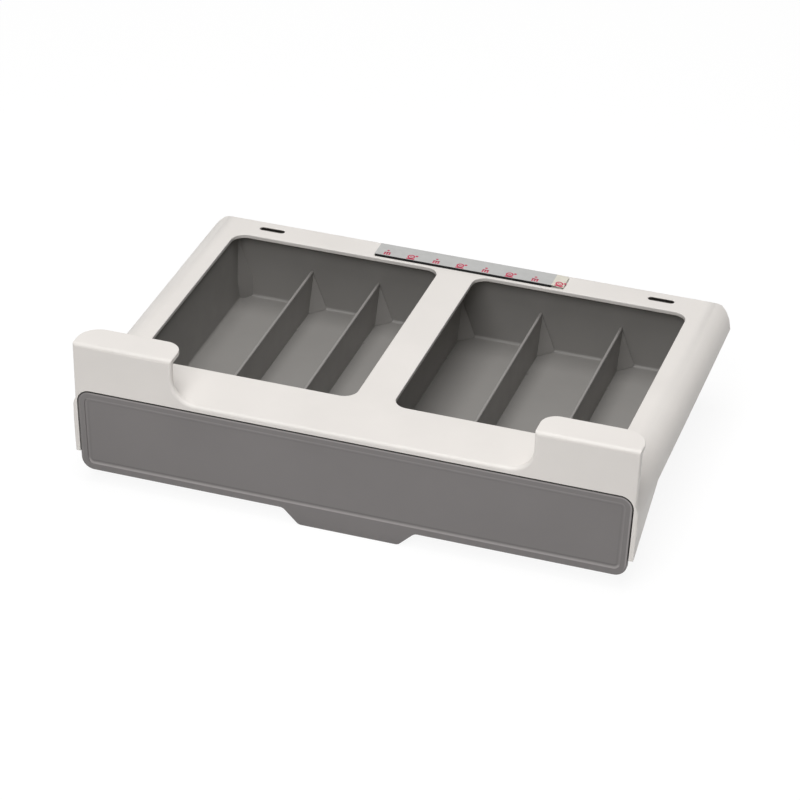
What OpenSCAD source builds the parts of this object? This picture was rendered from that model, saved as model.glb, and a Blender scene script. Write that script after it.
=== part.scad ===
// Under-shelf drawer for coffee pods: a white casing that hooks over a shelf's front edge,
// and a grey drawer with divided lanes that slides in it.
// Millimetres. The origin is the centre of the casing's top face, which meets the shelf.
// X points right, Y points to the back, Z points up.

/* [Casing] */
// Overall width, measured across the widest point of the shoulders
casing_width = 331; // [322:1:340]
// Overall depth, from the front face to the rear edge
casing_depth = 220; // [210:1:230]
// Wall thickness of the casing
wall = 2.6; // [2.4:0.1:2.8]
// Radius of the rounded shoulder along each side
shoulder_radius = 17; // [16:0.5:18]
// Plan radius of the two rear corners
rear_corner_radius = 13; // [10:0.5:15]
// Radius of the top rear edge
rear_edge_radius = 5; // [3:0.5:6]
// Drop of the side skirt where it meets the cheek
front_skirt_drop = 16.5; // [15.5:0.5:19]
// Drop of the side skirt at the rear edge
rear_skirt_drop = 12.5; // [11:0.5:15]
// Drop of the cheek's tip at the front face
cheek_drop = 44.4; // [42:0.2:46]
// Distance from the front face over which the cheek slopes down
cheek_length = 42; // [36:1:50]
// Inward lean of each cheek, from the shoulder down to its tip
cheek_lean = 1.5; // [1:0.1:1.6]

/* [Windows] */
// Width of the bar between the two windows
bar_width = 22.8; // [18:0.2:28]
// Width of the casing's top outside each window
side_band = 23.6; // [23:0.2:24.6]
// Depth of the casing's top in front of the windows
front_band = 39.8; // [38:0.2:44]
// Depth of the casing's top behind the windows
rear_band = 22.4; // [21:0.2:23]
// Corner radius of the windows
window_corner = 8.5; // [5:0.5:12]

/* [Front frame and hooks] */
// Thickness of the front frame, which carries the hooks
frame_thickness = 3.2; // [3:0.1:3.3]
// Distance from the widest point of the shoulder to the frame's outer edge
frame_inset = 1.3; // [1:0.1:1.6]
// Inward lean of the frame's outer edge, from the top face to the cheek's tip
frame_lean = 0.8; // [0.4:0.1:1]
// Height of the hooks above the top face
hook_height = 26.2; // [20:0.2:32]
// Width of each hook
hook_width = 59; // [50:1:64]
// Reach of each hook over the shelf, from the front face
hook_reach = 20.4; // [16:0.2:26]
// Thickness of the hook's flange
hook_flange = 2.6; // [2.2:0.1:3]
// Radius of the curve from each hook down to the top face
hook_fillet = 14; // [8:0.5:18]
// Plan radius of the hook's inner rear corner
hook_corner = 9.5; // [6:0.5:12]
// Plan radius of the hook's outer rear corner
hook_outer_corner = 13; // [8:0.5:15]
// Outer radius of the hook's front bend
hook_bend = 2.5; // [1.5:0.1:2.5]
// Radius of the inner corner under the hook's flange
hook_root = 1.6; // [1:0.1:2.4]
// Radius of the front edge between the hooks and up their inner sides
front_edge_radius = 2; // [1.2:0.1:2.4]
// Radius of the upright front edges at both sides
side_edge_radius = 1.6; // [1:0.1:1.8]

/* [Screw slots] */
// End-to-end length of each screw slot
slot_length = 16; // [12:0.5:20]
// Width of each screw slot
slot_width = 4.2; // [3.5:0.1:5]
// Distance between the centres of the two slots
slot_spacing = 245.2; // [235:0.2:250]
// Distance from the rear edge to the slots' centre line
slot_setback = 11.5; // [9:0.5:13]

/* [Adhesive strip] */
// Length of the foam strip
strip_length = 111; // [90:1:130]
// Depth of the foam strip
strip_depth = 13.6; // [10:0.2:14]
// Sideways offset of the strip from the middle
strip_offset = 1.6; // [-5:0.2:5]
// Distance from the rear edge to the strip's centre line
strip_setback = 13; // [12:0.2:13.4]
// Depth of the locating recess under the strip
recess_depth = 0.4; // [0.2:0.1:0.8]
// Gap between the strip and the edge of its recess
recess_clearance = 0.3; // [0.2:0.1:0.6]
// Height of the foam above the top face
foam_height = 1.3; // [0.8:0.1:2]
// Thickness of the release liner
liner_thickness = 0.25; // [0.2:0.05:0.4]
// Gap between the foam and the liner on top of it
liner_gap = 0.05; // [0.02:0.01:0.1]
// Length of the liner's free end past the foam
liner_tail = 7.4; // [5:0.2:12]
// Corner radius of the strip
strip_corner = 1; // [0.5:0.1:2]

/* [Drawer front] */
// Drop from the top face to the top edge of the drawer front
panel_drop = 4; // [3.6:0.1:5]
// Height of the drawer front without its finger pull
panel_height = 51.3; // [50:0.1:54]
// Distance from the widest point of the shoulder to the panel's side
panel_margin = 3; // [2.8:0.1:3.6]
// Inward lean of each side of the drawer front
panel_lean = 1.85; // [1:0.05:2.5]
// Corner radius of the drawer front
panel_corner = 7.5; // [6:0.5:10]
// Width of the raised rim round the drawer front
rim_width = 4; // [3:0.1:5]
// Depth of the field inside the rim
field_depth = 0.7; // [0.3:0.1:1]
// Width of the slope from the rim down to the field
field_slope = 2; // [1:0.1:3]
// Gap between the drawer front and the casing round it
front_gap = 0.5; // [0.4:0.05:0.6]
// Half width of the finger pull where it leaves the drawer front
pull_top_half = 39; // [30:0.5:50]
// Half width of the finger pull at its lower edge
pull_bottom_half = 29.5; // [22:0.5:29.5]
// Height of the finger pull below the drawer front
pull_height = 9.3; // [8.8:0.1:14]
// Radius of the pull's lower corners
pull_corner = 4; // [2:0.2:4]
// Radius of the curves where the pull leaves the drawer front
pull_fillet = 4.5; // [2:0.2:4.5]

/* [Drawer tray] */
// Thickness of the tray's walls and floor
tray_wall = 2; // [1.6:0.1:2.2]
// Distance from the window's side edge to the top of the tray's inner wall
tray_margin = 1.6; // [1:0.1:2]
// Inward lean of each side wall, from its top to the floor
tray_lean = 3.7; // [1:0.1:4]
// Drop from the top face to the tray's floor
floor_drop = 46; // [44:0.5:50]
// Drop from the top face to the top of the tray's side walls
side_top_drop = 4.3; // [4.3:0.1:5]
// Drop from the top face to the top of the tray's front and rear walls
end_top_drop = 6.6; // [6.6:0.1:8]
// Distance from the casing's rear edge to the tray's rear wall
tray_rear_clearance = 14; // [13:0.5:17]
// Radius of the tray's lower outer edges
tray_bottom_radius = 4; // [3:0.5:6]
// Plan radius of the tray's outer corners
tray_corner = 4; // [3:0.5:6]
// Drop from the top face to the tips of the gussets in the tray's corners
gusset_drop = 7; // [6.6:0.2:12]
// Length of each gusset's foot along the wall, in the tray and on the dividers
gusset_foot = 10; // [6:0.5:10.5]
// Lean of a gusset's sloping edge from the vertical, in degrees
gusset_lean = 21; // [16:1:30]

/* [Dividers] */
// Place of each divider from left to right, in hundredths of the casing's half width
divider_places = [-57.3, -31.4, 0.4, 30.8, 60.8];
// Thickness of a divider
divider_thickness = 1.8; // [1.4:0.1:2.4]
// Height of a divider above the tray's floor
divider_height = 25.5; // [16:0.5:32]
// Gap between a divider's ends and the tray's walls
divider_end_gap = 0.2; // [0.1:0.05:0.4]
// Diameter of the pegs under a divider
peg_diameter = 3.6; // [3:0.1:4.4]
// Distance from a divider's end to the centre of its peg
peg_inset = 30; // [20:1:60]
// Radial clearance between a peg and its hole
peg_clearance = 0.05; // [0.02:0.01:0.1]

/* [Runners] */
// Width of the flange along each side of the tray
flange_width = 8.5; // [8:0.1:9]
// Thickness of the tray's flange
flange_thickness = 2; // [1.6:0.1:2.4]
// Drop from the top face to the upper side of the flange
flange_drop = 9; // [8.6:0.1:9.4]
// Running gap above and below the flange
slide_gap = 0.3; // [0.2:0.05:0.4]
// Sideways gap between the flange and the runner's guide
side_gap = 0.5; // [0.4:0.05:0.6]
// Thickness of the runner's ledge
ledge_thickness = 2.2; // [2:0.1:2.4]
// Height of the guide rib on the runner
guide_height = 2.2; // [1.6:0.1:2.4]
// Thickness of the guide rib on the runner
guide_thickness = 1.4; // [1:0.1:1.4]
// Travel of the drawer from shut to its stop
drawer_travel = 160; // [120:5:165]
// Screws along each runner
runner_screw_count = 3; // [2:1:4]
// Diameter of the shank of the runner and front screws
screw_diameter = 2.6; // [2.4:0.1:2.8]
// Radial clearance between a screw and its pilot hole
pilot_clearance = 0.05; // [0.02:0.01:0.1]
// Head diameter of the runner screws
screw_head = 5; // [4.6:0.1:5.2]
// Head height of the runner screws
screw_head_height = 1.5; // [1.2:0.1:2]
// Head diameter of the drawer front's washer-head screws
washer_head = 8.6; // [8.4:0.1:9.5]

/* [Hidden] */
$fn = 96;
eps = 0.01;
overcut = 1;
overlap = 0.5;

casing_half = casing_width / 2;
front_y = -casing_depth / 2;
rear_y = casing_depth / 2;
cut_depth = 200;
cheek_tip_width = 2.4;

frame_half = casing_half - frame_inset;
frame_back = front_y + frame_thickness;
frame_slope = frame_lean / cheek_drop;
hook_inner = frame_half - hook_width;
hook_outer = frame_half + frame_slope * (hook_height - hook_flange);

window_outer = casing_half - side_band;
window_width = window_outer - bar_width / 2;
window_front = front_y + front_band;
window_rear = rear_y - rear_band;

slot_y = rear_y - slot_setback;
strip_y = rear_y - strip_setback;
liner_bottom = foam_height + liner_gap;

panel_thickness = frame_thickness - slide_gap;
panel_half = casing_half - panel_margin;
panel_bottom = panel_drop + panel_height;
panel_back = front_y + panel_thickness;
panel_angle = atan(panel_lean / panel_height);
panel_side = (panel_height - 2 * panel_corner) / cos(panel_angle);
panel_top_x = panel_half - panel_corner * tan(panel_angle) - panel_corner / cos(panel_angle);
panel_low_x = panel_top_x - panel_side * sin(panel_angle);
panel_top_z = -panel_drop - panel_corner;
panel_low_z = -panel_bottom + panel_corner;
field_corner_relief = 0.05;

tray_half = window_outer + tray_margin;
tray_outer = tray_half + tray_wall;
tray_slope = tray_lean / (floor_drop - side_top_drop);
tray_front = panel_back;
tray_rear = rear_y - tray_rear_clearance;
lane_front = tray_front + tray_wall;
lane_rear = tray_rear - tray_wall;

fillet_end = 0.3;
gusset_root = 0.5;

flange_setback = 8;
flange_outer = tray_outer + flange_width;
flange_bottom_drop = flange_drop + flange_thickness;
flange_front = front_y + flange_setback;

runner_setback = 9;
runner_overrun = 1;
runner_screw_inset = 12;
runner_front = front_y + runner_setback;
runner_rear = tray_rear + runner_overrun;
runner_screw_front = runner_front + runner_screw_inset;
runner_screw_rear = runner_rear - runner_screw_inset;
runner_screw_step = (runner_screw_rear - runner_screw_front) / (runner_screw_count - 1);
ledge_drop = flange_bottom_drop + slide_gap;
ledge_margin = 3;
ledge_wall_gap = 0.4;
shoulder_centre = casing_half - shoulder_radius;
inner_shoulder = shoulder_radius - wall;
ledge_inner = tray_outer + ledge_margin;
ledge_outer = shoulder_centre - ledge_wall_gap
    + sqrt(pow(inner_shoulder, 2) - pow(shoulder_radius - ledge_drop, 2));
guide_x = flange_outer + side_gap;
boss_radius = 2.4;
boss_gap = 0.1;
boss_x = guide_x + guide_thickness + boss_gap + boss_radius;
pilot_depth = 4.2;
pilot_diameter = screw_diameter + 2 * pilot_clearance;
tip_gap = 0.3;
head_taper = 1;
cross_width = 0.6;
cross_depth = 0.6;

rib_thickness = 1.8;
rib_depth = 3.2;
wear_rib_offset = 4.5;
cross_rib_inset = 5;
cross_rib_half = tray_half - cross_rib_inset;
front_rib_y = front_y + front_band / 2;
rear_rib_y = window_rear + rear_band / 4;
lug_width = 3;
lug_length = 4;
lug_top_drop = 5.5;
lug_front = tray_rear - lug_length;
stop_rear = lug_front - drawer_travel - slide_gap;

divider_x = [for (place = divider_places) place * casing_half / 100];
divider_foot_radius = tray_bottom_radius - tray_wall;

outer_screw_x = (divider_x[4] + tray_half) / 2;
inner_screw_x = (divider_x[2] + divider_x[3]) / 2;
front_screw_x = [-outer_screw_x, -inner_screw_x, inner_screw_x, outer_screw_x];
front_screw_drop = 29;
front_boss_radius = 3.4;
front_boss_gap = 0.2;
front_boss_length = tray_wall - front_boss_gap;
front_skin = 0.8;
front_screw_depth = front_boss_length + panel_thickness - field_depth - front_skin;
wing_rib_x = (tray_outer + panel_half) / 2;
wing_rib_depth = 3;
wing_rib_drop = 12;

// Extrudes an X-Z outline from y0 back to y1
module along_y(y0, y1) {
    translate([0, y1, 0])
        rotate([90, 0, 0])
            linear_extrude(y1 - y0)
                children();
}

// Extrudes a Y-Z outline from x0 to x1
module along_x(x0, x1) {
    translate([x0, 0, 0])
        rotate([90, 0, 90])
            linear_extrude(x1 - x0)
                children();
}

// Repeats a shape on the left and on the right
module both_sides() {
    for (side = [0, 1])
        mirror([side, 0, 0])
            children();
}

// A block given by its two opposite corners
module block(low, high) {
    translate(low)
        cube(high - low);
}

// The waste outside a rounded edge whose corner is at the origin and whose body is at -X, -Y
module edge_waste(radius) {
    difference() {
        translate([-radius, -radius])
            square(radius + overcut);
        translate([-radius, -radius])
            circle(radius);
        translate([-2 * radius, -2 * radius])
            square([radius, 3 * radius]);
        translate([-2 * radius, -2 * radius])
            square([3 * radius, radius]);
    }
}

// A rectangle with rounded corners
module rounded_rectangle(size, radius) {
    union() {
        translate([radius, 0])
            square([size.x - 2 * radius, size.y]);
        translate([0, radius])
            square([size.x, size.y - 2 * radius]);
        for (x = [radius, size.x - radius], y = [radius, size.y - radius])
            translate([x, y])
                circle(radius);
    }
}

// Cross-section of the casing: a flat top, two round shoulders and sides that lean inward
module shoulder_section(inset) {
    half = casing_half - inset;
    radius = shoulder_radius - inset;
    bottom = -2 * cheek_drop;
    lean = cheek_lean * (2 * cheek_drop - shoulder_radius) / (cheek_drop - shoulder_radius);
    union() {
        polygon([
            [-shoulder_centre, -inset], [shoulder_centre, -inset],
            [half, -shoulder_radius], [half - lean, bottom],
            [lean - half, bottom], [-half, -shoulder_radius]
        ]);
        for (side = [-1, 1])
            translate([side * shoulder_centre, -shoulder_radius])
                circle(radius);
    }
}

// Plan of the casing: large rear corners and small front ones
module casing_plan(inset, front, front_radius) {
    half = casing_half - inset;
    back = rear_y - inset;
    radius = rear_corner_radius - inset;
    union() {
        translate([-half, front + front_radius])
            square([2 * half, back - radius - front - front_radius]);
        translate([radius - half, front])
            square([2 * (half - radius), back - front]);
        for (side = [-1, 1]) {
            translate([side * (half - radius), back - radius])
                circle(radius);
            translate([side * (half - front_radius), front + front_radius])
                circle(front_radius);
            translate([side * (half - (radius + front_radius) / 2), front + radius / 2])
                square([radius - front_radius, radius], center = true);
        }
    }
}

// Side view of the casing: a shallow skirt that drops to the cheek's tip at the front
module casing_profile() {
    union() {
        polygon([
            [front_y, 0], [rear_y - rear_edge_radius, 0], [rear_y, -rear_edge_radius],
            [rear_y, -rear_skirt_drop], [front_y + cheek_length, -front_skirt_drop],
            [front_y + cheek_tip_width, -cheek_drop], [front_y, -cheek_drop]
        ]);
        translate([rear_y - rear_edge_radius, -rear_edge_radius])
            circle(rear_edge_radius);
    }
}

module casing_envelope() {
    intersection() {
        along_y(front_y, rear_y)
            shoulder_section(0);
        translate([0, 0, -cut_depth / 2])
            linear_extrude(cut_depth)
                casing_plan(0, front_y, side_edge_radius);
        along_x(-casing_half - overcut, casing_half + overcut)
            casing_profile();
    }
}

// The space inside the casing, behind the front frame
module casing_cavity() {
    intersection() {
        along_y(frame_back, rear_y)
            shoulder_section(wall);
        translate([0, 0, -cut_depth])
            linear_extrude(cut_depth)
                casing_plan(wall, frame_back, side_edge_radius);
    }
}

// Outline of the drawer front without its pull, grown outward or shrunk inward
module panel_outline(grow) {
    radius = panel_corner + grow;
    top_edge = panel_top_z + radius;
    low_edge = panel_low_z - radius;
    top_side_x = panel_top_x + radius * cos(panel_angle);
    low_side_x = panel_low_x + radius * cos(panel_angle);
    down = radius * sin(panel_angle);
    union() {
        polygon([
            [-panel_top_x, top_edge], [panel_top_x, top_edge],
            [top_side_x, panel_top_z - down], [low_side_x, panel_low_z - down],
            [panel_low_x, low_edge], [-panel_low_x, low_edge],
            [-low_side_x, panel_low_z - down], [-top_side_x, panel_top_z - down]
        ]);
        for (side = [-1, 1]) {
            translate([side * panel_top_x, panel_top_z])
                circle(radius);
            translate([side * panel_low_x, panel_low_z])
                circle(radius);
        }
    }
}

// Outline of the space the drawer front moves in, open below
module panel_opening() {
    half = panel_half - panel_corner;
    union() {
        panel_outline(front_gap);
        translate([-half, -cut_depth])
            square([2 * half, cut_depth + panel_low_z]);
    }
}

// Cross-section of the space over the field, on the inner side of a sloping edge that starts
// on the front face at the origin
module field_section() {
    run = field_slope / field_depth;
    polygon([
        [overcut * run, -overcut], [-2 * field_slope, 2 * field_depth],
        [-casing_width, 2 * field_depth], [-casing_width, -overcut]
    ]);
}

// The space over the field, whose four sides slope up to the rim
module field_space() {
    edge = panel_corner - rim_width;
    intersection() {
        along_y(front_y - overcut, front_y + field_depth)
            panel_outline(field_corner_relief - rim_width);
        translate([0, front_y, panel_top_z + edge])
            rotate([0, -90, 0])
                linear_extrude(casing_width, center = true)
                    field_section();
        translate([0, front_y, panel_low_z - edge])
            rotate([0, 90, 0])
                linear_extrude(casing_width, center = true)
                    field_section();
        for (side = [0, 1])
            mirror([side, 0, 0])
                translate([panel_low_x, front_y, panel_low_z])
                    rotate([0, panel_angle, 0])
                        translate([edge, 0, 0])
                            linear_extrude(4 * panel_height, center = true)
                                field_section();
    }
}

// Outline of the finger pull under the drawer front, with round corners and blended roots
module pull_outline() {
    slope = atan((pull_top_half - pull_bottom_half) / pull_height);
    corner_drop = pull_height - pull_corner;
    corner_x = pull_top_half - corner_drop * tan(slope) - pull_corner / cos(slope);
    corner_z = -panel_bottom - corner_drop;
    root_x = pull_top_half - pull_fillet * tan(slope) + pull_fillet / cos(slope);
    root_z = -panel_bottom - pull_fillet;
    touch_x = root_x - pull_fillet * cos(slope);
    touch_z = root_z + pull_fillet * sin(slope);
    union() {
        polygon([
            [-pull_top_half, -panel_bottom], [-pull_top_half, overcut - panel_bottom],
            [pull_top_half, overcut - panel_bottom], [pull_top_half, -panel_bottom],
            [corner_x + pull_corner * cos(slope), corner_z - pull_corner * sin(slope)],
            [corner_x, corner_z - pull_corner], [-corner_x, corner_z - pull_corner],
            [-corner_x - pull_corner * cos(slope), corner_z - pull_corner * sin(slope)]
        ]);
        for (side = [-1, 1]) {
            translate([side * corner_x, corner_z])
                circle(pull_corner);
            difference() {
                polygon([
                    [side * (pull_top_half - overcut), overlap - panel_bottom],
                    [side * (root_x - fillet_end), overlap - panel_bottom],
                    [side * (root_x - fillet_end), root_z],
                    [side * (touch_x - fillet_end * cos(slope)), touch_z + fillet_end * cos(slope)]
                ]);
                translate([side * root_x, root_z])
                    circle(pull_fillet);
            }
        }
    }
}

// The cut between the two hooks, whose lower corners curve down to the top face
module hook_cut() {
    arc_x = hook_inner - hook_fillet;
    union() {
        translate([-arc_x, 0])
            square([2 * arc_x, 2 * hook_height]);
        translate([-hook_inner, hook_fillet])
            square([2 * hook_inner, 2 * hook_height]);
        for (side = [-1, 1])
            translate([side * arc_x, hook_fillet])
                circle(hook_fillet);
    }
}

// The waste that rounds the frame's front edge: along the top face between the hooks, round
// each hook's curve and up its inner side
module inner_edge_waste() {
    arc_x = hook_inner - hook_fillet;
    along_x(-arc_x, arc_x)
        translate([front_y, 0])
            mirror([1, 0])
                edge_waste(front_edge_radius);
    both_sides() {
        translate([arc_x, 0, hook_fillet])
            rotate([90, 0, 0])
                rotate([0, 0, -90])
                    rotate_extrude(angle = 90)
                        translate([hook_fillet, -front_y])
                            mirror([1, 0])
                                edge_waste(front_edge_radius);
        translate([hook_inner, front_y, hook_fillet])
            linear_extrude(hook_height)
                rotate(180)
                    edge_waste(front_edge_radius);
    }
}

// The waste that rounds the frame's leaning outer edges
module outer_edge_waste() {
    both_sides()
        translate([frame_half, front_y, 0])
            rotate([0, atan(frame_slope), 0])
                translate([0, 0, -2 * cheek_drop])
                    linear_extrude(2 * (cheek_drop + hook_height))
                        mirror([0, 1])
                            edge_waste(side_edge_radius);
}

// The frame round the drawer front, with the two hooks' upright walls
module front_frame() {
    top = hook_height - hook_flange;
    along_y(front_y, frame_back)
        difference() {
            polygon([
                [-hook_outer, top], [hook_outer, top],
                [frame_half - frame_lean, -cheek_drop], [frame_lean - frame_half, -cheek_drop]
            ]);
            hook_cut();
            panel_opening();
        }
}

// Plan of a hook's flange, from its inner side to its outer one
module flange_plan() {
    inner_x = hook_inner + hook_corner;
    outer_x = hook_outer - hook_outer_corner;
    rear = front_y + hook_reach;
    union() {
        translate([hook_inner, front_y])
            square([hook_outer - hook_inner, hook_reach - hook_outer_corner]);
        translate([hook_inner, front_y])
            square([outer_x - hook_inner, hook_reach - hook_corner]);
        translate([inner_x, front_y])
            square([outer_x - inner_x, hook_reach]);
        translate([inner_x, rear - hook_corner])
            circle(hook_corner);
        intersection() {
            translate([outer_x, rear - hook_outer_corner])
                circle(hook_outer_corner);
            translate([outer_x, front_y])
                square(hook_reach);
        }
    }
}

// The flange that lies over the shelf, with the blend under it
module hook_flanges() {
    under = hook_height - hook_flange;
    both_sides() {
        translate([0, 0, under])
            linear_extrude(hook_flange)
                flange_plan();
        along_x(hook_inner, hook_outer)
            difference() {
                translate([frame_back - eps, under - hook_root])
                    square(hook_root + eps);
                translate([frame_back + hook_root, under - hook_root])
                    circle(hook_root);
            }
    }
}

// Ribs, stops and screw bosses on the underside of the casing's top
module casing_underside() {
    rib_x = tray_outer + wear_rib_offset;
    rear_stop_y = tray_rear + slide_gap;
    intersection() {
        casing_envelope();
        union() {
            both_sides() {
                block([rib_x, frame_back - eps, slide_gap - flange_drop],
                      [rib_x + rib_thickness, runner_rear, eps - wall]);
                block([tray_outer, stop_rear - lug_length, slide_gap - flange_drop],
                      [tray_outer + lug_width, stop_rear, eps - wall]);
                block([tray_outer, rear_stop_y, -flange_bottom_drop],
                      [flange_outer, rear_stop_y + rib_thickness, eps - wall]);
                block([bar_width / 4, window_front, -wall - rib_depth],
                      [bar_width / 4 + rib_thickness, window_rear, eps - wall]);
                runner_screw_places()
                    translate([0, 0, -ledge_drop])
                        cylinder(r = boss_radius, h = ledge_drop);
            }
            for (y = [front_rib_y, rear_rib_y])
                block([-cross_rib_half, y, -wall - rib_depth],
                      [cross_rib_half, y + rib_thickness, eps - wall]);
        }
    }
}

// Repeats a shape at each screw of the right-hand runner
module runner_screw_places() {
    for (i = [0 : runner_screw_count - 1])
        translate([boss_x, runner_screw_front + i * runner_screw_step, 0])
            children();
}

module windows() {
    both_sides()
        translate([bar_width / 2, window_front, -2 * wall])
            linear_extrude(3 * wall)
                rounded_rectangle([window_width, window_rear - window_front], window_corner);
}

module screw_slots() {
    arc_offset = (slot_length - slot_width) / 2;
    for (x = [-slot_spacing / 2, slot_spacing / 2])
        translate([x, slot_y, -2 * wall])
            linear_extrude(3 * wall)
                union() {
                    square([2 * arc_offset, slot_width], center = true);
                    for (end = [-arc_offset, arc_offset])
                        translate([end, 0])
                            circle(d = slot_width);
                }
}

// Plan of the adhesive strip, of its liner with the free end, or of the recess round both
module strip_plan(grow, tail) {
    translate([strip_offset - strip_length / 2 - grow, strip_y - strip_depth / 2 - grow])
        rounded_rectangle([strip_length + tail + 2 * grow, strip_depth + 2 * grow],
                          strip_corner + grow);
}

module casing() {
    color("#E9E5E0")
        difference() {
            union() {
                difference() {
                    casing_envelope();
                    casing_cavity();
                    along_y(front_y - overcut, frame_back + eps)
                        panel_opening();
                }
                difference() {
                    union() {
                        front_frame();
                        hook_flanges();
                    }
                    outer_edge_waste();
                }
                casing_underside();
            }
            windows();
            screw_slots();
            translate([0, 0, -recess_depth])
                linear_extrude(recess_depth + overcut)
                    strip_plan(recess_clearance, liner_tail);
            inner_edge_waste();
            along_x(-casing_half, casing_half)
                translate([front_y, hook_height])
                    mirror([1, 0])
                        edge_waste(hook_bend);
            both_sides()
                runner_screw_places()
                    translate([0, 0, -ledge_drop - overcut])
                        cylinder(d = pilot_diameter, h = pilot_depth + overcut);
        }
}

// A runner: a ledge under the tray's flange, with an upright guide beside it
module runner() {
    difference() {
        union() {
            block([ledge_inner, runner_front, -ledge_drop - ledge_thickness],
                  [ledge_outer, runner_rear, -ledge_drop]);
            block([guide_x, runner_front, -ledge_drop - eps],
                  [guide_x + guide_thickness, runner_rear, guide_height - ledge_drop]);
        }
        runner_screw_places()
            translate([0, 0, -ledge_drop - ledge_thickness - overcut])
                cylinder(d = pilot_diameter + 2 * pilot_clearance,
                         h = ledge_thickness + 2 * overcut);
    }
}

module left_runner() {
    color("#CFCBC6")
        mirror([1, 0, 0])
            runner();
}

module right_runner() {
    color("#CFCBC6")
        runner();
}

// A pan-head screw that points along +Z, with a cross recess in its head
module screw(length, head_diameter, head_height) {
    difference() {
        union() {
            cylinder(d = screw_diameter, h = length);
            translate([0, 0, -head_height])
                cylinder(d1 = head_diameter - head_taper, d2 = head_diameter, h = head_height);
        }
        for (turn = [0, 90])
            rotate([0, 0, turn])
                translate([-head_diameter / 4, -cross_width / 2, -head_height - overcut])
                    cube([head_diameter / 2, cross_width, cross_depth + overcut]);
    }
}

module runner_screws() {
    runner_screw_places()
        translate([0, 0, -ledge_drop - ledge_thickness])
            screw(ledge_thickness + pilot_depth - tip_gap, screw_head, screw_head_height);
}

module left_runner_screws() {
    color("#B7B9BB")
        mirror([1, 0, 0])
            runner_screws();
}

module right_runner_screws() {
    color("#B7B9BB")
        runner_screws();
}

module adhesive_strip() {
    color("#1E1D1D")
        translate([0, 0, -recess_depth])
            linear_extrude(recess_depth + foam_height)
                strip_plan(0, 0);
}

module release_liner() {
    color("#BDBDBB")
        translate([0, 0, liner_bottom])
            linear_extrude(liner_thickness)
                strip_plan(0, liner_tail);
}

// Cross-section of the tray: sides that lean inward and round lower corners
module tray_section(half, bottom, top, radius) {
    lean = atan(tray_slope);
    top_half = half + tray_slope * (top + side_top_drop);
    side_x = half + tray_slope * (bottom + radius + side_top_drop);
    centre_x = side_x - radius / cos(lean);
    centre_z = bottom + radius;
    union() {
        polygon([
            [-top_half, top], [top_half, top],
            [centre_x + radius * cos(lean), centre_z - radius * sin(lean)], [centre_x, bottom],
            [-centre_x, bottom], [-centre_x - radius * cos(lean), centre_z - radius * sin(lean)]
        ]);
        for (side = [-1, 1])
            translate([side * centre_x, centre_z])
                circle(radius);
    }
}

// A tub with leaning sides, round vertical corners and round lower edges
module tub(half, front, rear, bottom, top, corner, edge) {
    intersection() {
        translate([-half, front, bottom])
            linear_extrude(top - bottom)
                rounded_rectangle([2 * half, rear - front], corner);
        along_y(front - overcut, rear + overcut)
            tray_section(half, bottom, top, edge);
        along_x(-half - overcut, half + overcut)
            translate([front, bottom])
                rounded_rectangle([rear - front, top - bottom + 2 * edge], edge);
    }
}

// A gusset that fills the upright corner between the walls X = 0 and Y = 0. Its sloping face
// starts at a point at the top and ends in a steep face of the foot's length. The root is how
// far it sinks into the wall Y = 0.
module gusset(bottom, top, root) {
    depth = 2 * (top - bottom);
    intersection() {
        translate([0, 0, bottom])
            linear_extrude(top - bottom)
                polygon([
                    [-gusset_root, -root], [gusset_foot, -root], [gusset_foot, 0],
                    [0, gusset_foot], [-gusset_root, gusset_foot]
                ]);
        rotate([0, 0, 45])
            along_y(-gusset_foot, gusset_foot)
                polygon([
                    [-overcut, top], [0, top], [depth * tan(gusset_lean) / sqrt(2), top - depth],
                    [-overcut, top - depth]
                ]);
    }
}

// Repeats a gusset in the four corners of a rectangle
module corner_gussets(half, front, rear, bottom, top) {
    both_sides() {
        translate([half, front, 0])
            mirror([1, 0, 0])
                gusset(bottom, top, gusset_root);
        translate([half, rear, 0])
            rotate([0, 0, 180])
                gusset(bottom, top, gusset_root);
    }
}

module drawer_tray() {
    color("#7C7A7A")
        difference() {
            union() {
                tub(tray_outer, tray_front, tray_rear, -floor_drop - tray_wall, -side_top_drop,
                    tray_corner, tray_bottom_radius);
                both_sides() {
                    block([tray_half, flange_front, -flange_bottom_drop],
                          [flange_outer, tray_rear, -flange_drop]);
                    block([tray_outer, lug_front, -flange_drop - eps],
                          [tray_outer + lug_width, tray_rear, -lug_top_drop]);
                }
            }
            difference() {
                tub(tray_half, lane_front, lane_rear, -floor_drop, overcut,
                    tray_corner - tray_wall, tray_bottom_radius - tray_wall);
                corner_gussets(tray_half, lane_front, lane_rear, -floor_drop, -gusset_drop);
            }
            for (y = [tray_front - overcut, lane_rear - eps])
                block([-tray_half + tray_corner, y, -end_top_drop],
                      [tray_half - tray_corner, y + tray_wall + overcut + eps, overcut]);
            for (x = divider_x, y = [lane_front + peg_inset, lane_rear - peg_inset])
                translate([x, y, -floor_drop - tray_wall - overcut])
                    cylinder(d = peg_diameter + 2 * peg_clearance, h = tray_wall + 2 * overcut);
            front_screw_places(tray_front - overcut)
                cylinder(r = front_boss_radius + front_boss_gap, h = tray_wall + 2 * overcut);
        }
}

// Repeats a shape that points back along +Y at each screw of the drawer front
module front_screw_places(y) {
    for (x = front_screw_x)
        translate([x, y, -front_screw_drop])
            rotate([-90, 0, 0])
                children();
}

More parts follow.
